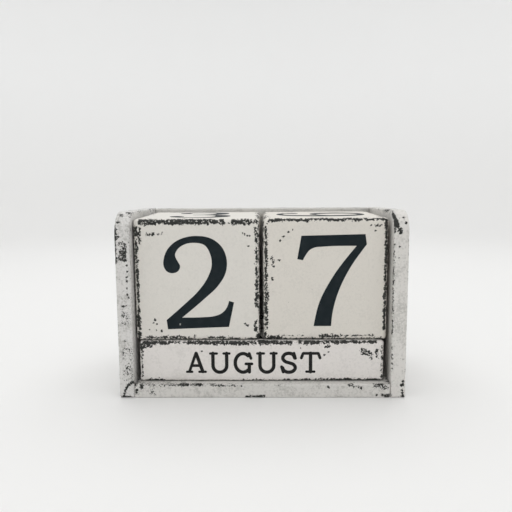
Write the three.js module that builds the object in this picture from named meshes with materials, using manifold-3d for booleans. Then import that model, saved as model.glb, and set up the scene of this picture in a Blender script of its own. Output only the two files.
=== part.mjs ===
// Perpetual block calendar of painted wood. An open-topped frame of four boards holds two
// number cubes for the day, and three month bars lie one behind another under the cubes.
// The frame's boards are butted, glued and pinned with small steel panel pins.
//
// Millimetres. +X is the reader's right, +Y runs from the open front to the back board and
// +Z is up. The origin is on the table, under the middle of the frame.

import * as THREE from 'three';
import { RoundedBoxGeometry } from 'three/addons/geometries/RoundedBoxGeometry.js';
import { mergeVertices } from 'three/addons/utils/BufferGeometryUtils.js';
import Module from 'manifold-3d';

// Frame
const FRAME_WIDTH = 150.4;
const FRAME_DEPTH = 78.2;
const SIDE_THICKNESS = 7.8;
const SIDE_TOP_FRONT = 98; // height of the side boards just behind the rounded corner
const SIDE_TOP_REAR = 96.6; // the top edge falls gently towards the back
const SIDE_CORNER_RADIUS = 12; // the front top corner
const BOTTOM_THICKNESS = 7.5;
const BACK_THICKNESS = 7.6;
const BACK_HEIGHT = 96.5;
const ARRIS = 0.8; // sanded edges of the boards
const GLUE_GAP = 0.1; // glue line between two boards

// Day cubes, sawn to length from square stock, so that their widths differ a little
const CUBE_SIDE = 64.7; // height and depth
const CUBE_ARRIS = 2.4;
const TENS_CUBE_WIDTH = 65.9;
const TENS_CUBE_LEFT = -66.9; // each cube stands where a hand has put it
const TENS_CUBE_RECESS = 5.5; // behind the frame's front edges
const UNITS_CUBE_WIDTH = 65.2;
const UNITS_CUBE_LEFT = 0.75;
const UNITS_CUBE_RECESS = 5.7;

// Month bars
const BAR_LENGTH = 129.8;
const BAR_DEPTH = 21.8;
const BAR_HEIGHT = 22;
const BAR_ARRIS = 1.7;
const BAR_LEFT = -65.25;
const BAR_RECESS = 4.3; // of the front bar, behind the frame's front edges
const BAR_SPACING = 0.2; // between one bar and the next
const RESTING_GAP = 0.06; // under a loose block, so that it doesn't bind on what it stands on

// Panel pins
const PIN_LENGTH = 20;
const PIN_RADIUS = 0.62;
const PIN_POINT = 1.6; // length of the tapered point
const PIN_HEAD_RADIUS = 1.15;
const PIN_HEAD_THICKNESS = 0.9;
const PIN_SET = 0.35; // the heads are punched this far below the surface
const PIN_CLEARANCE = 0.1;
const PIN_SIDES = 16;
const SIDE_PIN_INSET = 14; // bottom board's side pins, from its front and rear edges
const BACK_SIDE_PIN_HEIGHTS = [16, 50, 84];
const BACK_BOTTOM_PIN_PLACES = [-45, 0, 45];

// Derived places
const FRONT = -FRAME_DEPTH / 2;
const REAR = FRAME_DEPTH / 2;
const BAY_WIDTH = FRAME_WIDTH - 2 * SIDE_THICKNESS;
const BACK_FRONT = REAR - BACK_THICKNESS;
const BOARD_LENGTH = BAY_WIDTH - 2 * GLUE_GAP;
const BOTTOM_REAR = BACK_FRONT - GLUE_GAP;
const BAR_BOTTOM = BOTTOM_THICKNESS + RESTING_GAP;
const CUBE_BOTTOM = BAR_BOTTOM + BAR_HEIGHT + RESTING_GAP;
const ARC_STEPS = 12;
const ROUND_STEPS = 3;

const wasm = await Module();
wasm.setup();

const framePaint = new THREE.MeshStandardMaterial({ color: 0xc6c2ba, roughness: 0.6 });
const cubePaint = new THREE.MeshStandardMaterial({ color: 0xd8d4cc, roughness: 0.55 });
const barPaint = new THREE.MeshStandardMaterial({ color: 0xd2cec6, roughness: 0.55 });
const pinSteel = new THREE.MeshStandardMaterial({ color: 0x8a8781, roughness: 0.5, metalness: 1 });

// A closed geometry as a manifold solid.
function toSolid(geometry) {
  const bare = geometry.clone();
  bare.deleteAttribute('normal');
  bare.deleteAttribute('uv');
  const merged = mergeVertices(bare, 1e-4);
  return new wasm.Manifold(new wasm.Mesh({
    numProp: 3,
    vertProperties: new Float32Array(merged.attributes.position.array),
    triVerts: new Uint32Array(merged.index.array),
  }));
}

// A manifold solid as a geometry.
function toGeometry(solid) {
  const mesh = solid.getMesh();
  const geometry = new THREE.BufferGeometry();
  geometry.setAttribute('position', new THREE.BufferAttribute(mesh.vertProperties, 3));
  geometry.setIndex(new THREE.BufferAttribute(mesh.triVerts, 1));
  geometry.computeVertexNormals();
  return geometry;
}

function cutAway(geometry, cutters) {
  return toGeometry(cutters.reduce((solid, cutter) => solid.subtract(toSolid(cutter)), toSolid(geometry)));
}

// Extrudes an outline, drawn with y to the right and z up, along +X from the given place.
function boardFromSection(outline, left, length, bevel = 0) {
  const geometry = new THREE.ExtrudeGeometry(outline, {
    depth: length - 2 * bevel,
    curveSegments: ARC_STEPS,
    bevelEnabled: bevel > 0,
    bevelThickness: bevel,
    bevelSize: bevel,
    bevelOffset: -bevel,
    bevelSegments: 2,
  });
  geometry.translate(0, 0, left + bevel);
  const turned = new THREE.Matrix4().makeBasis(
    new THREE.Vector3(0, 1, 0),
    new THREE.Vector3(0, 0, 1),
    new THREE.Vector3(1, 0, 0),
  );
  return geometry.applyMatrix4(turned);
}

// The pins: each one has the point where its axis meets the outer face, and the direction
// in which it was driven.
function pinList() {
  const pins = [];
  const bottomMiddle = BOTTOM_THICKNESS / 2;
  for (const [side, sign] of [['left', -1], ['right', 1]]) {
    const inward = new THREE.Vector3(-sign, 0, 0);
    const faceX = sign * FRAME_WIDTH / 2;
    const places = [FRONT + SIDE_PIN_INSET, BOTTOM_REAR - SIDE_PIN_INSET];
    places.forEach((y, i) => pins.push({
      name: `${side}_bottom_pin_${i + 1}`,
      head: new THREE.Vector3(faceX, y, bottomMiddle),
      inward,
    }));
    BACK_SIDE_PIN_HEIGHTS.forEach((z, i) => pins.push({
      name: `${side}_back_pin_${i + 1}`,
      head: new THREE.Vector3(faceX, REAR - BACK_THICKNESS / 2, z),
      inward,
    }));
  }
  BACK_BOTTOM_PIN_PLACES.forEach((x, i) => pins.push({
    name: `rear_bottom_pin_${i + 1}`,
    head: new THREE.Vector3(x, REAR, bottomMiddle),
    inward: new THREE.Vector3(0, -1, 0),
  }));
  return pins;
}

// A round profile turned about the Y axis; y is the depth below the outer face, so the
// turned solid is drawn upside down and pointed along the pin's direction afterwards.
function turned(profile) {
  const points = profile.map(([radius, depth]) => new THREE.Vector2(radius, -depth)).reverse();
  return new THREE.LatheGeometry(points, PIN_SIDES);
}

function pinShape() {
  const headTop = PIN_SET;
  const headUnder = PIN_SET + PIN_HEAD_THICKNESS;
  const tip = PIN_SET + PIN_LENGTH;
  return turned([
    [0, headTop],
    [PIN_HEAD_RADIUS, headTop],
    [PIN_HEAD_RADIUS, headUnder],
    [PIN_RADIUS, headUnder],
    [PIN_RADIUS, tip - PIN_POINT],
    [0, tip],
  ]);
}

// The hole that the pin fills: a dimple for the head, then the shank's hole.
function pinHole() {
  const above = -1; // starts clear of the outer face
  const headUnder = PIN_SET + PIN_HEAD_THICKNESS + PIN_CLEARANCE;
  const end = PIN_SET + PIN_LENGTH + PIN_CLEARANCE;
  return turned([
    [0, above],
    [PIN_HEAD_RADIUS + PIN_CLEARANCE, above],
    [PIN_HEAD_RADIUS + PIN_CLEARANCE, headUnder],
    [PIN_RADIUS + PIN_CLEARANCE, headUnder],
    [PIN_RADIUS + PIN_CLEARANCE, end],
    [0, end],
  ]);
}

// Places a turned shape so that its depth runs along the pin's direction.
function placement(pin) {
  const depthAxis = new THREE.Vector3(0, -1, 0);
  return {
    position: pin.head,
    quaternion: new THREE.Quaternion().setFromUnitVectors(depthAxis, pin.inward),
  };
}

function holesFor(pins) {
  return pins.map((pin) => {
    const { position, quaternion } = placement(pin);
    const place = new THREE.Matrix4().compose(position, quaternion, new THREE.Vector3(1, 1, 1));
    return pinHole().applyMatrix4(place);
  });
}

// Rounded front top corner, and a top edge that falls in a straight line to the rear.
function sideOutline() {
  const fall = (SIDE_TOP_FRONT - SIDE_TOP_REAR) / (FRAME_DEPTH - SIDE_CORNER_RADIUS);
  const arcEnd = Math.PI / 2 - Math.atan(fall);
  const outline = new THREE.Shape();
  outline.moveTo(FRONT, 0);
  outline.lineTo(REAR, 0);
  outline.lineTo(REAR, SIDE_TOP_REAR);
  outline.absarc(
    FRONT + SIDE_CORNER_RADIUS,
    SIDE_TOP_FRONT - SIDE_CORNER_RADIUS,
    SIDE_CORNER_RADIUS,
    arcEnd,
    Math.PI,
    false,
  );
  outline.closePath();
  return outline;
}

// The front edges are eased; the ends and the rear edge are cut square for the joints.
function bottomOutline() {
  const outline = new THREE.Shape();
  outline.moveTo(BOTTOM_REAR, 0);
  outline.lineTo(BOTTOM_REAR, BOTTOM_THICKNESS);
  outline.absarc(FRONT + ARRIS, BOTTOM_THICKNESS - ARRIS, ARRIS, Math.PI / 2, Math.PI, false);
  outline.absarc(FRONT + ARRIS, ARRIS, ARRIS, Math.PI, 1.5 * Math.PI, false);
  outline.closePath();
  return outline;
}

// The top edges are eased, and so is the outer bottom edge.
function backOutline() {
  const outline = new THREE.Shape();
  outline.moveTo(BACK_FRONT, BACK_HEIGHT - ARRIS);
  outline.lineTo(BACK_FRONT, 0);
  outline.absarc(REAR - ARRIS, ARRIS, ARRIS, 1.5 * Math.PI, 2 * Math.PI, false);
  outline.absarc(REAR - ARRIS, BACK_HEIGHT - ARRIS, ARRIS, 0, Math.PI / 2, false);
  outline.absarc(BACK_FRONT + ARRIS, BACK_HEIGHT - ARRIS, ARRIS, Math.PI / 2, Math.PI, false);
  outline.closePath();
  return outline;
}

function boards(pins) {
  const pinsWith = (...words) => pins.filter((pin) => words.some((word) => pin.name.includes(word)));
  const left = boardFromSection(sideOutline(), -FRAME_WIDTH / 2, SIDE_THICKNESS, ARRIS);
  const right = boardFromSection(sideOutline(), FRAME_WIDTH / 2 - SIDE_THICKNESS, SIDE_THICKNESS, ARRIS);
  const bottom = boardFromSection(bottomOutline(), -BOARD_LENGTH / 2, BOARD_LENGTH);
  const back = boardFromSection(backOutline(), -BOARD_LENGTH / 2, BOARD_LENGTH);
  return [
    named('left_side_board', cutAway(left, holesFor(pinsWith('left_'))), framePaint),
    named('right_side_board', cutAway(right, holesFor(pinsWith('right_'))), framePaint),
    named('bottom_board', cutAway(bottom, holesFor(pinsWith('bottom_pin'))), framePaint),
    named('back_board', cutAway(back, holesFor(pinsWith('back_pin', 'rear_'))), framePaint),
  ];
}

function pinMeshes(pins) {
  return pins.map((pin) => {
    const mesh = named(pin.name, pinShape(), pinSteel);
    const { position, quaternion } = placement(pin);
    mesh.position.copy(position);
    mesh.quaternion.copy(quaternion);
    return mesh;
  });
}

function cube(name, width, left, recess) {
  const shape = new RoundedBoxGeometry(width, CUBE_SIDE, CUBE_SIDE, ROUND_STEPS, CUBE_ARRIS);
  const mesh = named(name, shape, cubePaint);
  mesh.position.set(left + width / 2, FRONT + recess + CUBE_SIDE / 2, CUBE_BOTTOM + CUBE_SIDE / 2);
  return mesh;
}

// The bars lie one behind another, the front one showing.
function monthBars() {
  return ['front', 'middle', 'rear'].map((place, row) => {
    const shape = new RoundedBoxGeometry(BAR_LENGTH, BAR_DEPTH, BAR_HEIGHT, ROUND_STEPS, BAR_ARRIS);
    const mesh = named(`month_bar_${place}`, shape, barPaint);
    const y = FRONT + BAR_RECESS + BAR_DEPTH / 2 + row * (BAR_DEPTH + BAR_SPACING);
    mesh.position.set(BAR_LEFT + BAR_LENGTH / 2, y, BAR_BOTTOM + BAR_HEIGHT / 2);
    return mesh;
  });
}

function named(name, geometry, material) {
  const mesh = new THREE.Mesh(geometry, material);
  mesh.name = name;
  return mesh;
}

function frameGroup() {
  const group = new THREE.Group();
  const pins = pinList();
  group.add(...boards(pins), ...pinMeshes(pins));
  return group;
}

const calendar = new THREE.Group();
calendar.add(
  frameGroup(),
  cube('tens_cube', TENS_CUBE_WIDTH, TENS_CUBE_LEFT, TENS_CUBE_RECESS),
  cube('units_cube', UNITS_CUBE_WIDTH, UNITS_CUBE_LEFT, UNITS_CUBE_RECESS),
  ...monthBars(),
);

export default calendar;
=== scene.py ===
"""The looks of a perpetual block calendar: distressed white paint over black on wooden blocks.

Lengths are in millimetres until they reach a mesh, where MM turns them into metres. Marks on a
block are placed in millimetres from the centre of its face, x to the right and z up.
"""

import math

import bmesh
import bpy
from mathutils import Matrix, Vector, noise
from mathutils.geometry import delaunay_2d_cdt


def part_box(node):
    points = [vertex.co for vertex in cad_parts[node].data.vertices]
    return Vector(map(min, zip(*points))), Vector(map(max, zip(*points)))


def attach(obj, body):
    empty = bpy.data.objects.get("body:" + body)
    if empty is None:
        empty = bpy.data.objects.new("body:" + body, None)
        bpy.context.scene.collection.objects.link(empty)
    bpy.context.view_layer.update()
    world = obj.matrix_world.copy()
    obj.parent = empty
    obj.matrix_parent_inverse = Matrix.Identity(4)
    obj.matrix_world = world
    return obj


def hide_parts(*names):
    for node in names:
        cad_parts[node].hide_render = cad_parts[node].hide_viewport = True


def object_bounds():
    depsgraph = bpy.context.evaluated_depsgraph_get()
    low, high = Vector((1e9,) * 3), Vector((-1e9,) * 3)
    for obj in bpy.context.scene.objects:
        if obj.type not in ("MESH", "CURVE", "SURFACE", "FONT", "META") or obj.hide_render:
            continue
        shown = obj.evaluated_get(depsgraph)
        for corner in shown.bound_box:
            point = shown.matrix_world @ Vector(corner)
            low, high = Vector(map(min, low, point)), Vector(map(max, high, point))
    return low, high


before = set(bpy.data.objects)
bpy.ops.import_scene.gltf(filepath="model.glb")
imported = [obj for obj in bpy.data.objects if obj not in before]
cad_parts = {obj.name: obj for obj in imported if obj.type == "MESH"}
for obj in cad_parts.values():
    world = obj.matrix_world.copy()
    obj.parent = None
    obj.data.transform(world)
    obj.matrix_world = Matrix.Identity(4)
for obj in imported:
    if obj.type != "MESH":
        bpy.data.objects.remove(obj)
cad_low, cad_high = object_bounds()

MM = 0.001
FRONT = cad_low.y / MM

# ---------------------------------------------------------------- mesh helpers


def span(node):
    """Lowest and highest corner of a CAD node."""
    low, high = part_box(node)
    return low / MM, high / MM


def finish_mesh(name, bm, smooth=True):
    mesh = bpy.data.meshes.new(name)
    bm.to_mesh(mesh)
    bm.free()
    mesh.polygons.foreach_set("use_smooth", [smooth] * len(mesh.polygons))
    piece = bpy.data.objects.new(name, mesh)
    bpy.context.scene.collection.objects.link(piece)
    return piece


def apply_modifiers(piece):
    graph = bpy.context.evaluated_depsgraph_get()
    mesh = bpy.data.meshes.new_from_object(piece.evaluated_get(graph))
    piece.modifiers.clear()
    piece.data = mesh


# ---------------------------------------------------------------- worn blocks

GRID_STEP = 1.3
ARRIS_ROWS = (0.0, 0.18, 0.36, 0.54, 0.72, 0.88)  # places of the grid lines across a rounded edge


def ruled(half, radius):
    """Places of the grid lines across one side: close together over the rounded edges, even between."""
    flat = half - radius
    count = max(2, round(2 * flat / GRID_STEP))
    inner = [-flat + 2 * flat * i / count for i in range(count + 1)]
    edge = [half - radius * t for t in ARRIS_ROWS]
    return [-v for v in edge] + inner + edge[::-1]


def gridded_box(half, radius):
    """A grid over the surface of a sharp box, with its shared vertices welded."""
    bm = bmesh.new()
    lines = [ruled(half[i], radius) for i in range(3)]
    made = {}

    def vertex(p):
        key = tuple(round(c, 5) for c in p)
        if key not in made:
            made[key] = bm.verts.new(p)
        return made[key]

    for axis in range(3):
        u, v = (axis + 1) % 3, (axis + 2) % 3
        for sign in (-1, 1):
            for i in range(len(lines[u]) - 1):
                for j in range(len(lines[v]) - 1):
                    corners = []
                    for di, dj in ((0, 0), (1, 0), (1, 1), (0, 1)):
                        p = [0.0, 0.0, 0.0]
                        p[axis] = sign * half[axis]
                        p[u] = lines[u][i + di]
                        p[v] = lines[v][j + dj]
                        corners.append(vertex(p))
                    bm.faces.new(corners[::sign])
    return bm


RADIUS_WANDER = 0.22  # share by which an edge's radius varies along it
DENT_DEPTH = 0.26


def rounded(p, half, radius, shift):
    """Where a point of the sharp box lies once its edge is rounded, with a wandering radius and dents."""
    r = radius * (1 + RADIUS_WANDER * noise.noise((p + shift) * 0.11))
    core = Vector([max(-half[i] + r, min(half[i] - r, p[i])) for i in range(3)])
    away = p - core
    if away.length < 1e-9:
        return p
    away.normalize()
    on_edge = sum(1 for i in range(3) if abs(p[i]) > half[i] - r) >= 2
    dent = max(0.0, noise.noise((p + shift) * 0.55) - 0.05) * DENT_DEPTH if on_edge else 0.0
    return core + away * (r - dent)


SIDE_CORNER_RADIUS = 12.0
SIDE_FALL = 1.4  # how much lower a side board's top edge is at the rear than behind its round corner


def side_board_shape(p, half):
    """Turns a box's front top corner into a quarter round and lets its top edge fall to the rear."""
    radius = SIDE_CORNER_RADIUS
    a = radius - (p.y + half.y)
    b = p.z - (half.z - radius)
    if a > 0 and b > 0:
        scale = max(a, b) / math.hypot(a, b)
        p = Vector((p.x, radius - half.y - a * scale, half.z - radius + b * scale))
    behind = max(0.0, p.y + half.y - radius) / (2 * half.y - radius)
    up = (p.z + half.z) / (2 * half.z)
    return Vector((p.x, p.y, p.z - SIDE_FALL * behind * up))


def worn_block(name, node, radius, seed, shape=None):
    """A worn block that fills the CAD node's box. Its origin is its centre."""
    low, high = span(node)
    half = (high - low) / 2
    shift = Vector((seed * 17.3, seed * 5.1, -seed * 9.7))
    bm = gridded_box(half, radius)
    for vert in bm.verts:
        p = rounded(vert.co, half, radius, shift)
        vert.co = (shape(p, half) if shape else p) * MM
    piece = finish_mesh(name, bm)
    piece.location = (low + high) / 2 * MM
    return piece


DIMPLE_SIDES = 24


def drill(piece, nodes, radius, depth):
    """Cuts a round dimple over each pin's head, which is the pin's end on the outside of the frame."""
    for node in nodes:
        low, high = span(node)
        along = 0 if high.x - low.x > high.y - low.y else 1
        place = (low + high) / 2
        place[along] = low[along] if place[along] < 0 else high[along]
        bm = bmesh.new()
        bmesh.ops.create_cone(
            bm, cap_ends=True, segments=DIMPLE_SIDES, radius1=radius, radius2=radius, depth=2 * depth
        )
        turn = Matrix.Rotation(math.pi / 2, 4, "Y" if along == 0 else "X")
        bm.transform(Matrix.Scale(MM, 4) @ Matrix.Translation(place) @ turn)
        cutter = finish_mesh("cutter", bm, smooth=False)
        cut = piece.modifiers.new("hole", "BOOLEAN")
        cut.solver = "EXACT"
        cut.object = cutter
        apply_modifiers(piece)
        bpy.data.objects.remove(cutter)


# ---------------------------------------------------------------- material expressions


class Wire:
    """An output in a material. Sums and products of wires are Math nodes."""

    def __init__(self, tree, socket):
        self.tree = tree
        self.socket = socket

    def node(self, kind, inputs, output=0, **settings):
        """A new node of that kind, fed by this wire and the other inputs in order."""
        node = self.tree.nodes.new(kind)
        for key, value in settings.items():
            setattr(node, key, value)
        for slot, value in zip(node.inputs, (self, *inputs)):
            if isinstance(value, Wire):
                self.tree.links.new(value.socket, slot)
            elif value is not None:
                slot.default_value = value
        return Wire(self.tree, node.outputs[output])

    def math(self, operation, *inputs):
        return self.node("ShaderNodeMath", inputs, operation=operation)

    def vector(self, operation, *inputs, output=0):
        return self.node("ShaderNodeVectorMath", inputs, output, operation=operation)

    def split(self):
        first = self.node("ShaderNodeSeparateXYZ", ())
        return [Wire(self.tree, socket) for socket in first.socket.node.outputs]

    def ramp(self, low, high, to_low=0.0, to_high=1.0):
        """Goes smoothly from to_low to to_high as this goes from low to high."""
        inputs = (low, high, to_low, to_high)
        return self.node("ShaderNodeMapRange", inputs, interpolation_type="SMOOTHSTEP")

    def blend(self, other, share):
        """The colour this, going to the colour other as share goes from 0 to 1."""
        node = self.tree.nodes.new("ShaderNodeMix")
        node.data_type = "RGBA"
        for slot, value in (("Factor", share), ("A", self), ("B", other)):
            kinds = ("VALUE",) if slot == "Factor" else ("RGBA",)
            socket = next(s for s in node.inputs if s.name == slot and s.type in kinds)
            if isinstance(value, Wire):
                self.tree.links.new(value.socket, socket)
            else:
                socket.default_value = value
        return Wire(self.tree, next(s for s in node.outputs if s.type == "RGBA"))

    def __add__(self, other):
        return self.math("ADD", other)

    def __sub__(self, other):
        return self.math("SUBTRACT", other)

    def __mul__(self, other):
        return self.math("MULTIPLY", other)


def tone(tree, colour):
    node = tree.nodes.new("ShaderNodeRGB")
    node.outputs[0].default_value = (*colour, 1)
    return Wire(tree, node.outputs[0])


def grain(place, size, detail=3.0, rough=0.55, stretch=(1, 1, 1), seed=0.0, output="Fac"):
    """Noise from 0 to 1, mostly 0.3 to 0.7, with features about size long, times stretch."""
    moved = place.vector("MULTIPLY_ADD", [1 / (size * s) for s in stretch], (seed, 1.7 * seed, 2.3 * seed))
    wire = moved.node("ShaderNodeTexNoise", ())
    node = wire.socket.node
    node.inputs["Scale"].default_value = 1.0
    node.inputs["Detail"].default_value = detail
    node.inputs["Roughness"].default_value = rough
    return Wire(place.tree, node.outputs[output])


def new_material(name, specular):
    """A fresh material, its shader and its own coordinates in millimetres."""
    material = bpy.data.materials.new(name)
    material.use_nodes = True
    tree = material.node_tree
    shader = tree.nodes["Principled BSDF"]
    shader.inputs["Specular IOR Level"].default_value = specular
    own = Wire(tree, tree.nodes.new("ShaderNodeTexCoord").outputs["Object"])
    return material, shader, own.vector("MULTIPLY", (1 / MM,) * 3)


def finish_shader(shader, colour, roughness, height, depth):
    """Wires the shader up. height goes from 0 to 1 and is depth millimetres high."""
    tree = colour.tree
    bump = tree.nodes.new("ShaderNodeBump")
    bump.inputs["Strength"].default_value = 1.0
    bump.inputs["Distance"].default_value = depth * MM
    tree.links.new(height.socket, bump.inputs["Height"])
    tree.links.new(colour.socket, shader.inputs["Base Color"])
    tree.links.new(roughness.socket, shader.inputs["Roughness"])
    tree.links.new(bump.outputs["Normal"], shader.inputs["Normal"])


# ---------------------------------------------------------------- distressed paint and painted shade

# undercoat black and thin grey paint where the paint is worn, and the same colours as painted shade on the
# flanks and in the gaps
UNDERCOAT_AND_SHADE = (0.020, 0.021, 0.019)
RUBBED_UNDERCOAT_AND_SHADE = [3 * c for c in UNDERCOAT_AND_SHADE]
THIN_PAINT_AND_SHADE = (0.30, 0.30, 0.28)
GRIME = (0.36, 0.355, 0.33)
PATCH_FADE = 0.42  # how fast a worn patch thins out past its border, per millimetre
SPOT_FADE = 0.8  # and past a spot's
SPOT_BORDER = 0.62  # how worn a spot's border is
FRONT_REACH = 1.0  # how far behind the front face a front mark goes at full strength


def patch_density(place, front_y, patches):
    """Front face wear and painted shade, in soft-edged rectangles (x, z, half width, half height,
    strength).
    """
    worn = None
    for x, z, half_x, half_z, strength in patches:
        centre = (x, front_y(z), z)
        inside = place.vector("SUBTRACT", centre).vector("ABSOLUTE")
        beyond = inside.vector("SUBTRACT", (half_x, FRONT_REACH, half_z)).vector("MAXIMUM", (0, 0, 0))
        here = beyond.vector("LENGTH", output=1).math("MULTIPLY_ADD", -PATCH_FADE, strength)
        worn = worn.math("MAXIMUM", here) if worn else here
    return worn


def spot_density(place, front_y, spots, worn):
    """Adds round spots (x, z, radius) to how worn the front face is."""
    for x, z, radius in spots:
        away = place.vector("DISTANCE", (x, front_y(z), z), output=1)
        here = away.math("MULTIPLY_ADD", -SPOT_FADE, SPOT_BORDER + SPOT_FADE * radius)
        worn = worn.math("MAXIMUM", here) if worn else here
    return worn


def edge_distance(place, half):
    """On the surface of a box, the distance to the nearest edge."""
    x, y, z = place.vector("ABSOLUTE").vector("MULTIPLY_ADD", (-1, -1, -1), tuple(half)).split()
    low = x.math("MINIMUM", y).math("MINIMUM", z)
    high = x.math("MAXIMUM", y).math("MAXIMUM", z)
    return x + y + z - low - high


FLANK_FADE = 0.07  # how fast the wear and painted shade beside the front face thin out to the rear, per millimetre
FLANK_ROUND = 2.4  # the radius over which a front face turns into its flanks
FLANK_TURN = (0.55, 0.88)  # the shares of that radius where the flank's wear and painted shade set in, and are whole
FRONT_SKIN = (1.0, 3.2)  # how far behind the front face the edge wear sets in, and is whole
EDGE_WEAR = 0.62
EDGE_FADE = 0.13  # how fast the wear thins out away from an edge, per millimetre
EDGE_DRIFT = 14  # over how many millimetres the edge wear comes and goes
PAINT_BUMP = 0.11  # how deep the paint's surface is, with its chips
BRUSH_STROKE = 0.55  # the width of a brush mark
BRUSH_STRETCH = 14.0  # how many times longer than wide it is


def flank_share(place, half):
    """0 on the front face and 1 past its left, right and bottom edges, with round bottom corners."""
    left = place.vector("MULTIPLY", (-1, 0, -1))
    right = place.vector("MULTIPLY", (1, 0, -1))
    core = (half.x - FLANK_ROUND, 0, half.z - FLANK_ROUND)
    turned = left.vector("MAXIMUM", right).vector("SUBTRACT", core).vector("MAXIMUM", (0, 0, 0))
    return turned.vector("LENGTH", output=1).ramp(*(share * FLANK_ROUND for share in FLANK_TURN))


def wear_and_shade_density(place, ragged, half, seed, marks, flank, wear):
    """How dark a block is: the most of its front marks, its edge wear, and its flank wear and painted
    shade.
    """
    drift = grain(place, EDGE_DRIFT, detail=2, seed=seed + 5)
    edges = edge_distance(ragged, half).math("MULTIPLY_ADD", -EDGE_FADE, wear - 0.75) + drift * 1.5
    y = place.split()[1]
    behind_front = y.ramp(FRONT_SKIN[0] - half.y, FRONT_SKIN[1] - half.y)
    # black over the flanks beside and under the front face, fading to the rear: edge wear, and painted
    # shade in the gaps
    sides = y.math("MULTIPLY_ADD", -FLANK_FADE, flank - FLANK_FADE * half.y) * flank_share(place, half)
    return marks.math("MAXIMUM", edges * behind_front).math("MAXIMUM", sides)


def painted_wood(name, piece, colour, seed, patches, spots, mottle=0.3, along=0, flank=0.7,
                 wear=EDGE_WEAR, chip=1.0, front_y=None):
    """White paint over black on wood. The front face is worn at its own patches and spots, a few of them
    painted shade, its flanks are darkened by flank at their front edges, as wear and as painted shade in
    the gaps, and the rest by wear along the edges. mottle is how grimy the paint is, along is the axis
    that the brush and the grain follow, chip is the size of the smallest chips, and front_y gives the
    front face's place at a height where the face isn't flat."""
    material, shader, place = new_material(name, specular=0.35)
    half = piece.dimensions / MM / 2
    front_y = front_y or (lambda z: -half.y)

    wobble = grain(place, 1.3 * chip, detail=2, seed=seed, output="Color")
    ragged = wobble.vector("MULTIPLY_ADD", (1.6 * chip,) * 3, (-0.8 * chip,) * 3).vector("ADD", place)
    fine = grain(place, chip, detail=3, rough=0.55, seed=seed + 3)
    broad = grain(place, 2.6, detail=2, seed=seed + 4)
    speck = (fine * 1.5 + broad * 0.8).math("SUBTRACT", 0.65)  # around 0.5

    # The undercoat shows where the density is above speck, and the paint is thin just short of that: worn
    # paint, and painted shade on the flanks and in a few patches.
    marks = spot_density(ragged, front_y, spots, patch_density(ragged, front_y, patches))
    excess = wear_and_shade_density(place, ragged, half, seed, marks, flank, wear) - speck
    bare_and_shade = excess.ramp(-0.03, 0.04)
    thin_and_shade = excess.ramp(-0.16, 0.02) * 0.35

    stretch = [BRUSH_STRETCH if axis == along else 1.0 for axis in range(3)]
    brush = grain(place, BRUSH_STROKE, detail=3, stretch=stretch, seed=seed + 7)
    cloud = grain(place, 8, detail=4, rough=0.6, seed=seed + 9)
    smear = grain(ragged, 1.2, detail=5, rough=0.72, seed=seed + 11)
    dirty = (cloud * 0.4 + smear * 0.7 + brush * 0.15).ramp(0.58, 0.76) * mottle
    value = brush.math("MULTIPLY_ADD", 0.05, 0.95) + cloud * 0.05
    tree = place.tree
    paint = tone(tree, colour).vector("SCALE")
    tree.links.new(value.socket, paint.socket.node.inputs["Scale"])
    top = paint.blend(tone(tree, GRIME), dirty).blend(tone(tree, THIN_PAINT_AND_SHADE), thin_and_shade)
    # black where the paint is worn, and the same black as painted shade on the flanks and in a few patches
    under = tone(tree, UNDERCOAT_AND_SHADE).blend(tone(tree, RUBBED_UNDERCOAT_AND_SHADE), smear.ramp(0.45, 0.75))

    height = bare_and_shade.math("MULTIPLY_ADD", -0.6, 0.6) + brush * 0.22 + smear * 0.12 + fine * 0.08
    roughness = bare_and_shade.math("MULTIPLY_ADD", 0.12, 0.52) + cloud * 0.1
    finish_shader(shader, top.blend(under, bare_and_shade), roughness, height, PAINT_BUMP)
    piece.data.materials.clear()
    piece.data.materials.append(material)


# ---------------------------------------------------------------- digits and letters

CORNER = True  # the third item of an outline's point where it turns sharply
CURVE_STEPS = 5


def sub(a, b):
    return [i - j for i, j in zip(a, b)]


def leaning(before, here, after):
    """The direction of a smooth curve at its middle point of three, as a unit vector."""
    first, second = sub(here, before), sub(after, here)
    d1, d2 = math.hypot(*first), math.hypot(*second)
    way = [u / d1 * d2 + v / d2 * d1 for u, v in zip(first, second)]
    length = math.hypot(*way)
    return [c / length for c in way]


def curve(points, sharp, closed):
    """Points along a smooth curve through the given ones, which breaks at the sharp ones."""
    count = len(points)
    made = []
    for i in range(count if closed else count - 1):
        j = (i + 1) % count
        start, end = points[i], points[j]
        chord = sub(end, start)
        reach = math.hypot(*chord)
        out = None if sharp[i] else [c * reach for c in leaning(points[i - 1], start, end)]
        home = None if sharp[j] else [c * reach for c in leaning(start, end, points[(j + 1) % count])]
        steps = 1 if out is None and home is None else CURVE_STEPS
        out = out or [1.5 * c - 0.5 * h for c, h in zip(chord, home or chord)]
        home = home or [1.5 * c - 0.5 * o for c, o in zip(chord, out)]
        for k in range(steps):
            t = k / steps
            made.append([
                s + t * t * (3 - 2 * t) * c + t * (1 - t) ** 2 * o - t * t * (1 - t) * h
                for s, c, o, h in zip(start, chord, out, home)
            ])
    return made if closed else made + [list(points[-1])]


def outline(points):
    """A closed shape. Its points are (x, z), or (x, z, CORNER) where it turns sharply."""
    return curve([p[:2] for p in points], [len(p) == 3 for p in points], closed=True)


def round_end(x, z, radius, start, turns=8):
    """A half circle from the angle start, going round to the right."""
    angles = [start - math.pi * i / turns for i in range(turns + 1)]
    return [(x + radius * math.cos(a), z + radius * math.sin(a)) for a in angles]


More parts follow.
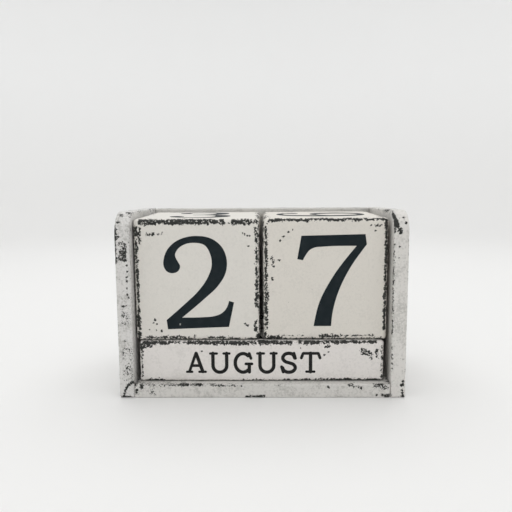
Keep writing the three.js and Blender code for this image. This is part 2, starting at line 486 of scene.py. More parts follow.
def stroke(*points, radius=None):
    """A round-ended brush stroke through points (x, z, half width), or (x, z) with one radius for all."""
    points = [(*p[:2], radius or p[2]) for p in points]
    sharp = [i in (0, len(points) - 1) for i in range(len(points))]
    line = curve(points, sharp, closed=False)
    left, right = [], []
    for i, (x, z, w) in enumerate(line):
        back, ahead = line[max(0, i - 1)], line[min(len(line) - 1, i + 1)]
        way = math.atan2(ahead[1] - back[1], ahead[0] - back[0])
        left.append((x - w * math.sin(way), z + w * math.cos(way)))
        right.append((x + w * math.sin(way), z - w * math.cos(way)))
    way = [math.atan2(b[1] - a[1], b[0] - a[0]) for a, b in (line[:2], line[-2:])]
    tip = round_end(*line[-1], way[1] + math.pi / 2)
    tail = round_end(*line[0], way[0] - math.pi / 2)
    return left[:-1] + tip + right[-2::-1] + tail[1:-1]


def straight(x0, z0, x1, z1, radius):
    return stroke((x0, z0), (x1, z1), radius=radius)


def disc(x, z, radius, sides=20):
    angles = [i * math.tau / sides for i in range(sides)]
    return [(x + radius * math.cos(a), z + radius * math.sin(a)) for a in angles]


def ring(x, z, rx, rz, side, top):
    """An oval ring, as two halves that overlap. Its half width is side at its sides and top at its top."""
    halves = []
    for start in (-90, 90):
        angles = [math.radians(start + a) for a in range(0, 181, 20)]
        halves.append(stroke(*[
            (x + rx * math.cos(a), z + rz * math.sin(a), top + (side - top) * math.cos(a) ** 2)
            for a in angles
        ]))
    return halves


TWO = [outline([
    (-0.3, 23.4), (-6.2, 22.6), (-11.2, 20.4), (-14.9, 17.0), (-17.2, 12.2), (-17.4, 7.2), (-15.6, 4.6),
    (-12.7, 3.9), (-10.1, 4.9), (-8.9, 7.7), (-10.0, 9.9), (-11.4, 13.5), (-10.2, 16.2), (-6.8, 18.8),
    (-0.7, 19.8), (4.0, 18.6), (6.9, 14.0), (7.6, 7.6), (5.6, 1.8), (0.3, -5.8), (-6.2, -12.0),
    (-16.7, -21.2, CORNER), (-16.1, -26.2, CORNER), (16.3, -25.0, CORNER), (19.1, -11.8, CORNER),
    (16.5, -11.0, CORNER), (15.1, -14.9), (12.4, -17.7), (8.4, -19.2), (3.0, -19.7),
    (-8.4, -19.9, CORNER), (3.8, -9.6), (10.6, -3.2), (14.9, 4.0), (15.6, 10.4), (12.9, 17.8), (8.2, 21.7),
])]
SEVEN = [outline([
    (-12.75, 23.2, CORNER), (20.35, 23.9, CORNER), (21.15, 18.6, CORNER), (11.65, 4.5), (6.65, -6.5),
    (3.65, -18.3), (3.05, -24.7, CORNER), (-6.15, -24.7, CORNER), (-3.05, -11.5), (2.55, -0.3),
    (15.85, 17.8, CORNER), (-2.0, 17.45), (-5.6, 17.1), (-8.35, 15.8), (-10.4, 13.2),
    (-11.95, 10.4, CORNER), (-14.85, 11.0, CORNER),
])]
ZERO = ring(0.0, 0.0, 13.0, 23.0, side=4.6, top=1.7)
EIGHT = [*ring(0.2, 12.2, 10.0, 10.8, side=3.2, top=1.6), *ring(0.0, -10.9, 12.5, 12.3, side=4.0, top=1.7)]
ONE = [
    outline([
        (4.3, -22.6, CORNER), (4.3, 24.5, CORNER), (1.5, 24.5, CORNER), (-3.0, 20.3), (-11.5, 18.0, CORNER),
        (-11.5, 15.8, CORNER), (-4.3, 16.2, CORNER), (-4.3, -22.6, CORNER),
    ]),
    straight(-11.0, -23.5, 11.0, -23.5, 1.2),
]
THREE = [
    disc(-11.0, 15.5, 3.4),
    stroke((-13.2, 17.5, 1.4), (-9, 21.6, 1.5), (-1.5, 23, 1.7), (6, 21.3, 2.6), (10.4, 16.5, 3.6),
           (10.6, 10.8, 3.7), (7.5, 5.2, 2.9), (1.5, 1.6, 1.6), (-4.5, 0.8, 1.0)),
    stroke((-3.5, 1, 1.0), (3, 0.4, 1.5), (9, -2.8, 2.9), (12.4, -8.5, 4.0), (12, -15.2, 4.0),
           (7.5, -20.9, 2.9), (0, -23.2, 1.9), (-8, -21.8, 1.6), (-13.6, -17.2, 1.6)),
    disc(-12.6, -13.2, 4.0),
]
FOUR = [
    straight(6.7, -23.4, 6.7, 23.0, 4.0),
    straight(-2.0, -23.5, 16.0, -23.5, 1.2),
    straight(-16.4, -11.2, 16.0, -11.2, 1.5),
    straight(6.2, 22.8, -16.4, -10.6, 1.7),
]
FIVE = [
    stroke((-11.2, 22.6, 1.0), (-11.8, -0.5, 1.0)),
    outline([
        (-12.2, 24.0, CORNER), (-4.0, 22.9), (4.0, 22.6), (12.0, 24.4, CORNER), (10.8, 18.6, CORNER),
        (4.0, 16.4), (-4.0, 16.6), (-10.2, 17.6, CORNER),
    ]),
    stroke((-11.8, -0.2, 1.0), (-7.5, 3.6, 1.6), (-0.5, 5.6, 2.2), (7, 3.5, 3.4), (11.8, -2.5, 4.2),
           (12.6, -9.5, 4.4), (9.8, -17, 3.8), (4, -21.8, 2.6), (-3.5, -23.2, 1.8), (-10.5, -20.8, 1.6),
           (-14.2, -16.2, 1.5)),
    disc(-12.4, -13.0, 3.9),
]
SIX = [
    disc(10.5, 15.5, 3.4),
    stroke((12.6, 17.8, 1.5), (8, 21.8, 1.6), (1.5, 23, 1.8), (-5.5, 20.8, 2.8), (-10.6, 14.5, 3.8),
           (-13.2, 5.5, 4.4), (-13.4, -5, 4.5), (-11.2, -14.5, 4.2), (-6.5, -20.8, 2.9), (0.5, -23.3, 1.8)),
    stroke((-0.5, -23.2, 1.8), (7.5, -21, 2.8), (11.9, -14.8, 4.0), (12.6, -8, 4.2), (10.6, -1.6, 3.8),
           (5.5, 2.9, 2.5), (-0.5, 3.8, 1.6), (-6, 1.4, 1.5), (-10.5, -4, 1.6)),
]

STEM, THIN, SLAB = 0.93, 0.77, 0.65  # half widths of a letter's strokes
CAP = 10.2  # height of a letter, between the middles of its strokes


def post(x, low=0.0, high=CAP, radius=STEM):
    return straight(x, low, x, high, radius)


def rail(left, right, z, radius=THIN):
    return straight(left, z, right, z, radius)


def slab(x, z, half=1.7):
    return rail(x - half, x + half, z, SLAB)


def arc(x, z, rx, rz, start, end, radius=STEM):
    """Part of an oval's line, from one angle to the other in degrees."""
    steps = max(3, round(abs(end - start) / 22))
    angles = [math.radians(start + (end - start) * i / steps) for i in range(steps + 1)]
    return stroke(*[(x + rx * math.cos(a), z + rz * math.sin(a)) for a in angles], radius=radius)


def bowl(x, low, high, reach):
    """The round side of a B, D, P or R, from a post at x."""
    middle, tall = (low + high) / 2, (high - low) / 2
    turn = min(tall, reach)
    return [
        rail(x, x + reach - turn, low), rail(x, x + reach - turn, high),
        arc(x + reach - turn, middle, turn, tall, -90, 90),
    ]


S_CURVE = (
    (7.4, 7.6), (6.4, 9.5), (4.2, 10.15), (1.9, 9.3), (1.1, 7.5), (2.2, 5.8), (4.6, 4.9), (6.9, 3.9),
    (7.7, 2.3), (6.8, 0.6), (4.4, -0.2), (2.0, 0.5), (0.95, 2.2),
)
# Each letter is its width and its strokes, from its left edge and its foot.
LETTERS = {
    "A": (10.9, [straight(5.4, 10.1, 1.9, 0.2, THIN), straight(5.6, 10.2, 9.0, 0.2, STEM),
                 slab(1.95, 0.1, 1.35), slab(8.85, 0.1), rail(3.3, 7.9, 3.5)]),
    "B": (9.8, [post(2.1), slab(1.7, 0.1, 1.1), slab(1.7, 10.1, 1.1), *bowl(2.1, 5.3, 10.1, 5.4),
                *bowl(2.1, 0.1, 5.3, 6.6)]),
    "C": (10.2, [arc(5.2, 4.95, 4.3, 5.1, 48, 312), straight(8.3, 10.1, 9.1, 7.4, THIN)]),
    "D": (10.8, [post(2.1), slab(1.7, 0.1, 1.1), slab(1.7, 10.1, 1.1), *bowl(2.1, 0.1, 10.1, 7.6)]),
    "E": (9.4, [post(2.1), rail(0.7, 8.4, 0.1), rail(0.7, 8.2, 10.1), rail(2.1, 6.0, 5.2),
                straight(8.4, 0.1, 8.6, 2.8, SLAB), straight(8.2, 10.1, 8.3, 7.5, SLAB),
                post(6.0, 4.0, 6.4, SLAB)]),
    "F": (9.0, [post(2.1), slab(2.3, 0.1), rail(0.7, 8.2, 10.1), rail(2.1, 6.0, 5.2),
                straight(8.2, 10.1, 8.3, 7.5, SLAB), post(6.0, 4.0, 6.4, SLAB)]),
    "G": (10.4, [arc(5.0, 4.95, 4.15, 5.1, 50, 310), post(8.3, 0.0, 4.2), rail(6.5, 9.7, 4.4),
                 straight(8.3, 10.1, 9.2, 7.4, THIN)]),
    "H": (11.4, [post(2.2), post(9.2), rail(2.2, 9.2, 5.2), slab(2.2, 0.1, 1.5), slab(2.2, 10.1, 1.5),
                 slab(9.2, 0.1, 1.5), slab(9.2, 10.1, 1.5)]),
    "I": (5.2, [post(2.6), slab(2.6, 0.1), slab(2.6, 10.1)]),
    "J": (8.4, [post(5.8, 3.2), slab(5.6, 10.1, 1.9), arc(3.5, 3.0, 2.3, 3.1, 0, -150)]),
    "L": (9.2, [post(2.3), slab(2.3, 10.1), rail(0.7, 8.4, 0.1), straight(8.4, 0.1, 8.6, 3.0, SLAB)]),
    "M": (13.2, [post(2.2, radius=THIN), post(11.0), straight(2.2, 10.1, 6.6, 2.4, STEM),
                 straight(11.0, 10.1, 6.6, 2.4, THIN), slab(2.0, 0.1, 1.4), slab(11.1, 0.1, 1.4),
                 slab(1.6, 10.1, 1.0), slab(11.6, 10.1, 1.0)]),
    "N": (11.6, [post(2.2, radius=THIN), post(9.4, radius=THIN), straight(2.2, 10.1, 9.4, 0.1, STEM),
                 slab(2.2, 0.1, 1.5), slab(1.7, 10.1, 1.0), slab(9.4, 10.1, 1.5)]),
    "O": (10.9, [arc(5.4, 5.0, 4.5, 5.1, -90, 90), arc(5.4, 5.0, 4.5, 5.1, 90, 270)]),
    "P": (9.4, [post(2.1), slab(2.3, 0.1), slab(1.7, 10.1, 1.1), *bowl(2.1, 4.4, 10.1, 6.2)]),
    "R": (10.6, [post(2.1), slab(2.1, 0.1, 1.5), slab(1.7, 10.1, 1.1), *bowl(2.1, 4.8, 10.1, 5.9),
                 straight(4.9, 4.8, 8.4, 0.2, STEM), slab(8.9, 0.1, 1.0)]),
    "S": (8.8, [stroke(*S_CURVE, radius=STEM), straight(7.0, 10.2, 7.8, 7.4, THIN),
                straight(0.4, 2.8, 1.3, -0.1, THIN)]),
    "T": (10.8, [rail(1.5, 9.4, 10.1), straight(1.4, 10.0, 0.5, 7.6, THIN),
                 straight(9.5, 10.0, 10.4, 7.6, THIN), post(5.4), slab(5.3, 0.1, 2.1)]),
    "U": (11.4, [post(2.0, 3.5), post(9.3, 3.5), slab(2.35, 10.1, 1.75), slab(9.25, 10.1, 1.55),
                 arc(5.65, 3.5, 3.65, 3.65, 180, 360)]),
    "V": (11.0, [straight(2.0, 10.0, 5.4, 0.2, STEM), straight(9.0, 10.0, 5.6, 0.2, THIN),
                 slab(2.1, 10.1, 1.6), slab(8.9, 10.1, 1.4)]),
    "Y": (10.8, [straight(2.0, 10.0, 5.4, 5.0, STEM), straight(8.9, 10.0, 5.4, 5.0, THIN),
                 post(5.4, 0.0, 5.0), slab(2.1, 10.1, 1.5), slab(8.8, 10.1, 1.4), slab(5.4, 0.1)]),
}
LETTER_GAP = 1.6
NAME_MIDDLE = -4.35  # the names sit a little to the left of the bar's middle
NAME_FOOT = -5.86  # and their feet this far from its middle height


def moved(shapes, x, z):
    return [[(px + x, pz + z) for px, pz in shape] for shape in shapes]


def month_shapes(name):
    width = sum(LETTERS[c][0] for c in name) + LETTER_GAP * (len(name) - 1)
    x = NAME_MIDDLE - width / 2
    shapes = []
    for c in name:
        shapes += moved(LETTERS[c][1], x, NAME_FOOT)
        x += LETTERS[c][0] + LETTER_GAP
    return shapes


FILM = 0.04  # how proud the painted characters stand
ROOT = 0.03  # how deep they are set


def filled(shapes):
    """The union of closed shapes: points, and faces as lists of places in those points."""
    points = [Vector(p) for shape in shapes for p in shape]
    loops, start = [], 0
    for shape in shapes:
        area = sum(a[0] * b[1] - a[1] * b[0] for a, b in zip(shape, shape[1:] + shape[:1]))
        loop = list(range(start, start + len(shape)))
        loops.append(loop if area > 0 else loop[::-1])
        start += len(shape)
    points, _, faces, _, _, owners = delaunay_2d_cdt(points, [], loops, 1, 1e-5, True)
    return points, [corners for corners, owner in zip(faces, owners) if owner]


def film(name, block, shapes, normal, up):
    """One face's paint: the union of the shapes, as a thin closed plate on that face of the block."""
    normal, up = Vector(normal), Vector(up)
    right = up.cross(normal)
    half = block.dimensions / MM / 2
    face = abs(normal.dot(half))
    points, faces = filled(shapes)
    bm = bmesh.new()
    layers = []
    for height in (face + FILM, face - ROOT):
        layers.append([bm.verts.new((right * p.x + up * p.y + normal * height) * MM) for p in points])
    outer, inner = layers
    borders = {}
    for corners in faces:
        bm.faces.new([outer[i] for i in corners])
        bm.faces.new([inner[i] for i in reversed(corners)])
        for edge in zip(corners, corners[1:] + corners[:1]):
            borders[edge] = None
    for i, j in borders:
        if (j, i) not in borders:
            bm.faces.new((outer[j], outer[i], inner[i], inner[j]))
    loose = [v for v in bm.verts if not v.link_faces]
    bmesh.ops.delete(bm, geom=loose, context="VERTS")
    bmesh.ops.recalc_face_normals(bm, faces=bm.faces[:])
    piece = finish_mesh(name, bm, smooth=False)
    piece.location = block.location
    return piece


SLATE = (0.0095, 0.0160, 0.0195)
LETTER_BLACK = (0.0145, 0.0150, 0.0145)
CLOUD_LIFT = 0.005  # how much lighter the clouds in the dark paint are


def number_paint(name, colour, face=0.0, pinholes=()):
    """Cloudy dark paint, with a few pinholes (x, z, radius) where the white shows on the front face,
    which is face in front of the middle of the block."""
    material, shader, place = new_material(name, specular=0.12)
    tree = place.tree
    cloud = grain(place, 5, detail=4, seed=31)
    speck = grain(place, 0.7, detail=4, rough=0.6, seed=33)
    colour = tone(tree, colour).blend(tone(tree, [c + CLOUD_LIFT for c in colour]), cloud.ramp(0.4, 0.7))
    if pinholes:
        worn = spot_density(place, lambda z: -face, pinholes, None)
        colour = colour.blend(tone(tree, GRIME), (worn - speck).ramp(-0.05, 0.1))
    roughness = cloud.math("MULTIPLY_ADD", 0.1, 0.5)
    finish_shader(shader, colour, roughness, speck * 0.4 + cloud * 0.2, depth=0.03)
    return material


# ---------------------------------------------------------------- blocks

TENS_WHITE = (0.732, 0.708, 0.660)
UNITS_WHITE = (0.722, 0.690, 0.633)
BAR_WHITE = (0.778, 0.746, 0.717)
LEFT_WHITE = (0.690, 0.677, 0.660)
RIGHT_WHITE = (0.704, 0.686, 0.655)
BOTTOM_WHITE = (0.680, 0.664, 0.634)
# the back board's white is darker than the other boards' as painted shade on its front face behind the
# cubes
SHADED_BACK_WHITE = (0.600, 0.588, 0.561)

CUBE_RADIUS = 2.4
BAR_RADIUS = 1.7
BOARD_RADIUS = 0.85
BASE_RADIUS = 0.5

# Where the paint is worn off a front face, and a few patches of painted shade: patches (x, z, half width,
# half height, strength), where a strength of 0.35 gives a few specks and 0.7 is bare, and spots (x, z,
# radius).
TENS_PATCHES = (
    # The first two patches, at the bottom right corner, and the long one at z -32.1 are painted shade of
    # the gaps.
    (32.3, -30.6, 0.4, 1.7, 0.85), (30.6, -32.2, 1.8, 0.35, 0.85), (-12.2, 30.8, 17.2, 1.0, 0.69),
    (9.8, 30.6, 5.0, 0.75, 0.68), (16.8, 29.9, 2.0, 0.1, 0.56), (23.2, 30.4, 4.3, 0.8, 0.72),
    (30.2, 30.7, 1.5, 0.7, 0.62), (-31.4, 26.2, 0.7, 2.0, 0.7), (-29.6, 23.8, 0.25, 4.2, 0.66),
    (-31.3, 11.0, 0.3, 11.0, 0.62), (-31.0, -9.5, 0.3, 9.5, 0.62), (-31.1, -22.2, 0.6, 3.8, 0.7),
    (-31.2, -29.5, 0.6, 2.0, 0.68), (31.4, 24.8, 1.0, 2.4, 0.60), (31.4, 11.5, 0.3, 10.5, 0.60),
    (31.4, -7.0, 0.3, 7.0, 0.68), (30.8, -24.6, 0.4, 2.4, 0.64), (-14.5, -30.7, 13.0, 0.35, 0.60),
    (12.0, -30.9, 6.5, 0.3, 0.62), (24.0, -31.6, 7.0, 0.2, 0.6), (0.0, -32.1, 30.0, 0.1, 0.70),
    (-24.0, 24.2, 2.0, 0.8, 0.52), (-18.8, 24.4, 1.3, 0.4, 0.46),
)
TENS_SPOTS = (
    (24.3, 24.6, 0.3), (25.2, 24.1, 0.3), (26.1, 23.5, 0.35), (26.9, 23.2, 0.4), (27.7, 23.3, 0.35),
    (27.1, 18.0, 0.35), (-22.4, -21.0, 0.4), (-23.6, -22.8, 0.4), (-21.6, -23.4, 0.45),
    (-25.7, -26.4, 0.35), (-21.9, -26.8, 0.45), (-19.3, -27.1, 0.35), (25.2, -23.3, 0.35),
    (25.9, -23.9, 0.35), (26.6, -24.5, 0.3),
)
UNITS_PATCHES = (
    # The first two patches, at the bottom left corner, and the long one at z -32.0 are painted shade of the
    # gaps.
    (-32.0, -30.7, 0.3, 1.6, 0.82), (-30.4, -32.1, 1.8, 0.3, 0.85), (-19.2, 31.5, 10.0, 0.35, 0.69),
    (-4.0, 31.9, 4.6, 0.3, 0.7), (9.0, 31.7, 8.6, 0.4, 0.68), (24.5, 31.7, 6.2, 0.2, 0.7),
    (31.2, 29.3, 0.35, 2.2, 0.72), (-31.0, 12.0, 0.35, 15.5, 0.64), (-30.9, -15.0, 0.5, 11.5, 0.66),
    (31.5, 10.0, 0.3, 17.0, 0.68), (31.2, -17.0, 0.35, 9.5, 0.68), (-26.6, -31.0, 3.6, 0.6, 0.74),
    (-17.0, -29.9, 6.0, 0.05, 0.5), (2.3, -30.2, 5.0, 0.35, 0.66), (17.0, -29.8, 8.5, 0.1, 0.54),
    (3.0, -32.0, 28.0, 0.15, 0.70), (-27.9, 9.5, 0.5, 2.4, 0.44), (27.2, 28.3, 1.5, 0.4, 0.6),
)
UNITS_SPOTS = (
    (-17.2, 26.2, 0.2), (-19.3, 25.4, 0.15), (-21.7, 22.8, 0.3), (-23.8, 20.7, 0.35),
    (-24.2, 10.4, 0.35), (-30.3, 29.9, 0.4), (-28.2, 12.5, 0.2), (-27.8, 11.5, 0.3),
    (-27.3, 10.8, 0.35), (-27.0, 9.7, 0.35), (-27.4, 8.8, 0.35), (-28.0, 8.0, 0.35), (-26.9, 7.4, 0.4),
    (-27.8, 1.2, 0.3), (-27.4, 0.4, 0.45), (23.1, 28.3, 0.45), (25.4, 28.7, 0.3), (26.3, 28.5, 0.4),
    (27.1, 28.8, 0.4), (28.0, 28.4, 0.45), (28.3, 27.9, 0.3), (25.5, 25.6, 0.3),
)
BAR_PATCHES = (
    (-41.2, 10.3, 2.2, 0.1, 0.55), (18.3, 10.3, 1.8, 0.1, 0.56), (-56.5, 10.0, 6.0, 0.45, 0.72),
    (-46.8, 10.2, 3.6, 0.3, 0.66), (-34.8, 10.1, 4.0, 0.45, 0.70), (-15.7, 10.0, 15.0, 0.5, 0.7),
    (6.5, 10.1, 9.8, 0.45, 0.70), (27.4, 10.1, 7.4, 0.45, 0.68), (47.8, 10.4, 13.0, 0.25, 0.68),
    (-62.6, 8.4, 1.5, 0.9, 0.62), (-59.2, 8.4, 1.2, 0.4, 0.6), (-63.4, 0.0, 0.1, 8.5, 0.56),
    (-56.8, -10.6, 4.6, 0.35, 0.78), (-2.5, -10.2, 8.0, 0.1, 0.46), (13.5, -10.4, 1.6, 0.2, 0.62),
    (18.0, -10.4, 1.2, 0.2, 0.6), (25.5, -10.4, 3.6, 0.2, 0.64), (31.8, -10.4, 1.6, 0.2, 0.62),
    (49.0, -10.5, 14.0, 0.3, 0.72), (63.7, -0.5, 0.1, 9.0, 0.58), (54.0, 5.0, 1.3, 1.4, 0.59),
    (57.0, 4.2, 0.9, 1.1, 0.57), (58.2, 2.2, 0.3, 1.4, 0.56), (61.0, 4.2, 0.35, 2.3, 0.6),
)
BAR_SPOTS = (
    (34.0, 7.8, 0.45), (34.8, 7.4, 0.4), (35.8, 7.9, 0.4), (36.5, 8.0, 0.3), (35.5, 5.1, 0.35),
    (33.5, 3.3, 0.25), (20.5, 7.0, 0.3), (-31.5, 5.5, 0.3), (57.0, 5.6, 0.4), (0.2, 12.5, 3.0),
)
LEFT_PATCHES = (
    (2.0, 48.3, 1.1, 0.3, 0.62), (-1.1, 47.2, 0.8, 0.5, 0.50), (-3.6, 33.5, 0.3, 10.5, 0.60),
    (-3.4, 38.0, 0.3, 2.2, 0.75), (-0.6, 33.2, 0.9, 0.5, 0.50), (0.2, 28.8, 1.6, 4.2, 0.50),
    (0.3, 25.0, 2.0, 0.9, 0.48), (1.0, -4.0, 2.5, 5.0, 0.38), (0.8, -31.0, 2.6, 9.0, 0.36),
    (3.0, -21.5, 0.1, 2.0, 0.42), (3.2, -28.7, 0.1, 1.2, 0.42), (-0.3, -48.5, 2.8, 0.15, 0.62),
)
LEFT_SPOTS = (
    (-2.4, 43.8, 0.38), (-1.7, 43.9, 0.28), (-1.65, 36.7, 0.28), (2.1, 21.8, 0.23), (2.1, 18.6, 0.43),
    (1.9, 15.9, 0.38), (1.9, 13.6, 0.28), (1.8, 10.0, 0.2), (1.9, 6.5, 0.38), (2.4, 5.0, 0.23),
    (0.0, -18.2, 0.23), (0.25, -32.8, 0.38), (3.2, -40.3, 0.7), (2.2, -41.0, 0.6), (1.2, -41.7, 0.65),
    (0.4, -42.3, 0.8), (-0.3, -43.4, 0.65), (-0.8, -44.5, 0.6), (-1.2, -45.6, 0.5), (-1.5, -46.7, 0.5),
    (-1.8, -47.8, 0.55),
)
RIGHT_PATCHES = (
    (-3.75, 9.0, 0.05, 24.0, 0.56), (2.2, -28.0, 1.3, 0.15, 0.42),
)
RIGHT_SPOTS = (
    (-3.8, 47.5, 0.9), (-3.5, 46.4, 1.0), (-3.2, 45.2, 1.1), (-2.8, 43.9, 1.2), (-2.5, 42.6, 1.2),
    (-2.2, 41.5, 1.0), (-3.3, 41.5, 1.0), (-3.6, 40.0, 0.7), (-3.7, 38.8, 0.5), (-1.2, 39.9, 0.6),
    (-0.5, 40.0, 0.5), (-0.9, 39.0, 0.5), (-0.3, 38.9, 0.6), (-0.7, 37.9, 0.7), (-1.9, 38.9, 0.4),
    (-0.1, 38.2, 0.4), (-1.1, 30.8, 0.45), (-1.1, 25.2, 0.35), (1.45, 45.4, 0.5), (2.35, 42.8, 0.6),
    (-3.4, -25.7, 0.4), (-3.4, -28.0, 0.4), (-3.4, -30.6, 0.35), (-3.4, -33.0, 0.35),
    (2.45, -40.1, 0.55), (2.5, -41.2, 0.5), (2.3, -42.0, 0.6), (1.8, -42.2, 0.5), (2.3, -45.0, 0.5),
    (2.4, -46.3, 0.5), (2.6, -47.5, 0.6), (2.2, -48.4, 0.5),
)
BOTTOM_PATCHES = (
    (-44.0, 3.3, 20.0, 0.25, 0.53), (-16.5, 3.0, 5.0, 0.3, 0.48), (-41.2, 3.4, 2.3, 0.2, 0.70),
    (-34.5, 3.4, 2.2, 0.2, 0.68), (-57.0, 3.3, 3.0, 0.2, 0.46), (-61.5, 0.5, 5.5, 2.5, 0.36),
    (-66.6, 3.4, 0.7, 0.3, 0.65), (-3.6, -3.2, 5.0, 0.2, 0.68), (7.8, 3.0, 2.2, 0.3, 0.40),
    (46.5, 3.1, 1.2, 0.4, 0.48), (49.5, 2.3, 1.5, 0.6, 0.50), (52.0, 1.6, 0.6, 0.4, 0.58),
    (62.5, 2.8, 4.2, 0.9, 0.55), (65.0, 1.4, 1.5, 0.4, 0.58), (66.0, -2.6, 1.8, 0.4, 0.68),
)
BOTTOM_SPOTS = (
    (-63.6, 2.6, 0.7), (-63.2, 1.9, 0.6), (-63.9, 3.3, 0.4), (-66.2, 0.3, 0.5), (-66.1, 1.0, 0.4),
    (-66.4, -0.5, 0.35), (-22.8, 3.0, 0.55), (-21.8, 3.3, 0.3), (-10.9, 2.8, 0.35), (34.9, 1.8, 0.6),
    (34.6, 2.5, 0.4), (60.2, -2.2, 0.45), (63.3, -2.3, 0.6),
)
BACK_PATCHES = ((0.0, 40.0, 60.0, 3.0, 0.3),)

# A face's outward direction, and which way is up on it once the block is rolled forward to it.
FACES = {
    "front": ((0, -1, 0), (0, 0, 1)),
    "top": ((0, 0, 1), (0, 1, 0)),
    "back": ((0, 1, 0), (0, 0, -1)),
    "under": ((0, 0, -1), (0, -1, 0)),
    "left": ((-1, 0, 0), (0, 0, 1)),
    "right": ((1, 0, 0), (0, 0, 1)),
}
UNITS_TOP = ((0, 0, 1), (-1, 0, 0))  # the units cube's top digit lies on its side

# The front digits are painted a little to the right of their cubes' middles.
TENS_SHIFT = 0.3
UNITS_SHIFT = 0.15
TENS_PINHOLE = (-9.3, -23.5, 0.25)


def letter(block, body, label, characters, paint):
    """Paints one face after another: characters holds (face name or its directions, name, shapes)."""
    for face, name, shapes in characters:
        normal, up = FACES.get(face, face)
        piece = film(f"{label}_{name}", block, shapes, normal, up)
        piece.data.materials.append(paint)
        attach(piece, body)


def place_block(piece, body, node):
    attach(piece, body)
    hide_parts(node)


def make_cubes():
    tens = worn_block("tens_block", "tens_cube", CUBE_RADIUS, seed=1)
    units = worn_block("units_block", "units_cube", CUBE_RADIUS, seed=2)
    painted_wood("tens_paint", tens, TENS_WHITE, 1, TENS_PATCHES, TENS_SPOTS, mottle=0.12, along=2)
    painted_wood("units_paint", units, UNITS_WHITE, 12, UNITS_PATCHES, UNITS_SPOTS, mottle=0.16, along=2,
                 flank=0.58)
    face = tens.dimensions.y / MM / 2
    letter(tens, "tens_cube", "tens_digit", (
        ("front", "2", moved(TWO, TENS_SHIFT, 0)), ("top", "3", THREE), ("back", "0", ZERO),
        ("under", "1", ONE), ("left", "4", FOUR), ("right", "5", FIVE),
    ), number_paint("tens_number_paint", SLATE, face, [TENS_PINHOLE]))
    letter(units, "units_cube", "units_digit", (
        ("front", "7", moved(SEVEN, UNITS_SHIFT, 0)), (UNITS_TOP, "6", SIX), ("back", "0", ZERO),
        ("under", "1", ONE), ("left", "2", TWO), ("right", "8", EIGHT),
    ), number_paint("units_number_paint", SLATE))
    place_block(tens, "tens_cube", "tens_cube")
    place_block(units, "units_cube", "units_cube")


BAR_NAMES = {
    "front": ("AUGUST", "MAY", "JUNE", "JULY"),
    "middle": ("JANUARY", "FEBRUARY", "MARCH", "APRIL"),
    "rear": ("SEPTEMBER", "OCTOBER", "NOVEMBER", "DECEMBER"),
}


def make_bars():
    paint = number_paint("month_paint", LETTER_BLACK)
    for i, (place, names) in enumerate(BAR_NAMES.items()):
        node = f"month_bar_{place}"
        bar = worn_block(f"{place}_bar", node, BAR_RADIUS, seed=3 + i)
        # The two bars behind the first keep only a few of its marks.
        marks = (BAR_PATCHES, BAR_SPOTS) if place == "front" else (BAR_PATCHES[:4], BAR_SPOTS[:2])
        painted_wood(f"{place}_bar_paint", bar, BAR_WHITE, 20 + 7 * i, *marks, mottle=0.2)
        characters = [(face, name.lower(), month_shapes(name)) for face, name in zip(FACES, names)]
        letter(bar, node, f"{place}_bar", characters, paint)
        place_block(bar, node, node)


# ---------------------------------------------------------------- frame

PIN_HEAD_RADIUS = 1.25
PIN_DIMPLE = 0.8
DULL_STEEL = (0.16, 0.16, 0.155)


def make_boards():
    """The frame's four boards. Returns the names of the pins' nodes."""
    left = worn_block("left_board", "left_side_board", BOARD_RADIUS, seed=7, shape=side_board_shape)
    right = worn_block("right_board", "right_side_board", BOARD_RADIUS, seed=8, shape=side_board_shape)
    bottom = worn_block("base_board", "bottom_board", BASE_RADIUS, seed=9)
    back = worn_block("rear_board", "back_board", BOARD_RADIUS, seed=10)
    half = left.dimensions / MM / 2

    def side_front(z):
        """How far forward a side board's front edge is at a height, from its middle."""
        up = max(0.0, z - (half.z - SIDE_CORNER_RADIUS))
        return SIDE_CORNER_RADIUS - half.y - math.sqrt(max(0.0, SIDE_CORNER_RADIUS**2 - up * up))

    pins = [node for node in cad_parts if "_pin_" in node]
    for piece, side in ((left, "left"), (right, "right"), (back, "rear")):
        drill(piece, [node for node in pins if node.startswith(side)], PIN_HEAD_RADIUS, PIN_DIMPLE)
    painted_wood("left_paint", left, LEFT_WHITE, 41, LEFT_PATCHES, LEFT_SPOTS, mottle=0.8, along=2,
                 flank=0.28, wear=0.48, chip=0.6, front_y=side_front)
    painted_wood("right_paint", right, RIGHT_WHITE, 47, RIGHT_PATCHES, RIGHT_SPOTS, mottle=0.6, along=2,
                 flank=0.28, wear=0.48, chip=0.7, front_y=side_front)
    painted_wood("bottom_paint", bottom, BOTTOM_WHITE, 53, BOTTOM_PATCHES, BOTTOM_SPOTS, mottle=0.6,
                 flank=0.0, wear=0.6, chip=0.7)
    painted_wood("back_paint", back, SHADED_BACK_WHITE, 59, BACK_PATCHES, (), mottle=0.5,
                 flank=0.0, wear=0.52, chip=0.7)
    for piece, node in (
        (left, "left_side_board"), (right, "right_side_board"),
        (bottom, "bottom_board"), (back, "back_board"),
    ):
        place_block(piece, "frame", node)
    return pins


def pin_steel():
    """Dull steel with the boards' paint dragged thinly over it."""
    material, shader, place = new_material("pin_steel", specular=0.5)
    smear = grain(place, 0.5, detail=4, rough=0.65, seed=71)
    # the paint over the pins takes the back board's darker white, which holds painted shade
    colour = tone(place.tree, DULL_STEEL).blend(tone(place.tree, SHADED_BACK_WHITE), smear.ramp(0.46, 0.6))
    finish_shader(shader, colour, smear.math("MULTIPLY_ADD", 0.3, 0.3), smear, depth=0.06)
    return material


make_cubes()
make_bars()
steel = pin_steel()
for node in make_boards():
    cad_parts[node].data.materials.clear()
    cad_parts[node].data.materials.append(steel)

# ---------------------------------------------------------------- stage

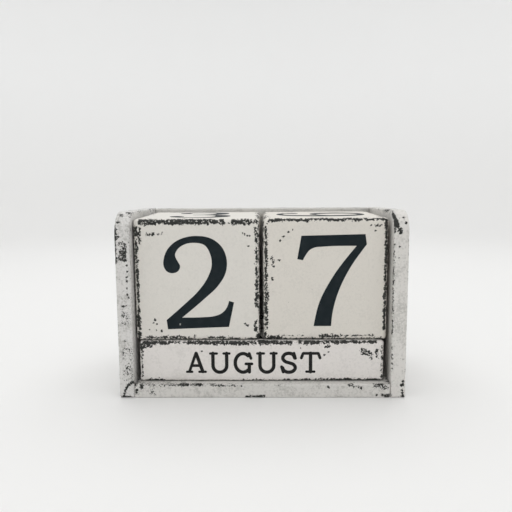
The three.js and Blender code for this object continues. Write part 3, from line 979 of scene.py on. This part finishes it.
STAGE_RADIUS = 900.0
STAGE_CURVE = 500.0
STAGE_WALL = 900.0
STAGE_SIDES = 96
STAGE_STEPS = 16
FLOOR_PAPER = (0.855, 0.853, 0.845)
WALL_PAPER = (0.960, 0.962, 0.960)


def make_stage():
    """A pale floor that curves up into a wall all round, so that no horizon shows from any side."""
    profile = [(STAGE_RADIUS, 0.0)]
    for i in range(1, STAGE_STEPS + 1):
        a = i * math.pi / 2 / STAGE_STEPS
        profile.append((STAGE_RADIUS + STAGE_CURVE * math.sin(a), STAGE_CURVE * (1 - math.cos(a))))
    profile.append((STAGE_RADIUS + STAGE_CURVE, STAGE_CURVE + STAGE_WALL))
    turns = [i * math.tau / STAGE_SIDES for i in range(STAGE_SIDES)]
    bm = bmesh.new()
    rings = []
    for r, z in profile:
        rings.append([bm.verts.new(Vector((r * math.cos(t), r * math.sin(t), z)) * MM) for t in turns])
    bm.faces.new(rings[0])
    for lower, upper in zip(rings, rings[1:]):
        for i in range(STAGE_SIDES):
            j = (i + 1) % STAGE_SIDES
            bm.faces.new((lower[j], lower[i], upper[i], upper[j]))
    floor = finish_mesh("floor", bm)
    material, shader, place = new_material("floor_paper", specular=0.3)
    height = place.split()[2].ramp(0, STAGE_CURVE)
    paper = tone(place.tree, FLOOR_PAPER).blend(tone(place.tree, WALL_PAPER), height)
    place.tree.links.new(paper.socket, shader.inputs["Base Color"])
    shader.inputs["Roughness"].default_value = 0.8
    floor.data.materials.append(material)


def area_light(name, place, target, size, power):
    data = bpy.data.lights.new(name, "AREA")
    data.shape = "RECTANGLE"
    data.size, data.size_y = size[0] * MM, size[1] * MM
    data.energy = power
    lamp = bpy.data.objects.new(name, data)
    lamp.location = Vector(place) * MM
    lamp.rotation_euler = (Vector(target) - Vector(place)).to_track_quat("-Z", "Y").to_euler()
    bpy.context.scene.collection.objects.link(lamp)


WORLD_STRENGTH = 0.7


def make_light():
    area_light("overhead", place=(0, 240, 1080), target=(0, 0, 0), size=(1200, 1200), power=5.3)
    area_light("front_fill", place=(-150, -1000, 700), target=(0, 0, 40), size=(900, 700), power=1.2)
    world = bpy.data.worlds.new("studio")
    bpy.context.scene.world = world
    world.use_nodes = True
    background = world.node_tree.nodes["Background"]
    background.inputs["Color"].default_value = (1, 1, 1, 1)
    background.inputs["Strength"].default_value = WORLD_STRENGTH


# ---------------------------------------------------------------- camera

CAMERA_PLACE = (1.95, FRONT - 290.0, 113.2)
CAMERA_PITCH = -7.415
CAMERA_YAW = 0.926
CAMERA_ROLL = 0.376
CAMERA_LENS = 40.27


def make_camera():
    data = bpy.data.cameras.new("camera")
    data.lens = CAMERA_LENS
    data.sensor_width = 36.0
    data.clip_start, data.clip_end = 0.01, 10.0
    camera = bpy.data.objects.new("camera", data)
    camera.location = Vector(CAMERA_PLACE) * MM
    pitch, yaw, roll = (math.radians(a) for a in (CAMERA_PITCH, -CAMERA_YAW, CAMERA_ROLL))
    forward = Vector((math.sin(yaw) * math.cos(pitch), math.cos(yaw) * math.cos(pitch), math.sin(pitch)))
    level = Vector((math.cos(yaw), -math.sin(yaw), 0))
    above = level.cross(forward)
    right = level * math.cos(roll) - above * math.sin(roll)
    up = level * math.sin(roll) + above * math.cos(roll)
    camera.rotation_euler = Matrix((right, up, -forward)).transposed().to_euler()
    bpy.context.scene.collection.objects.link(camera)
    bpy.context.scene.camera = camera


make_stage()
make_light()
make_camera()
bpy.context.scene.view_settings.view_transform = "Standard"
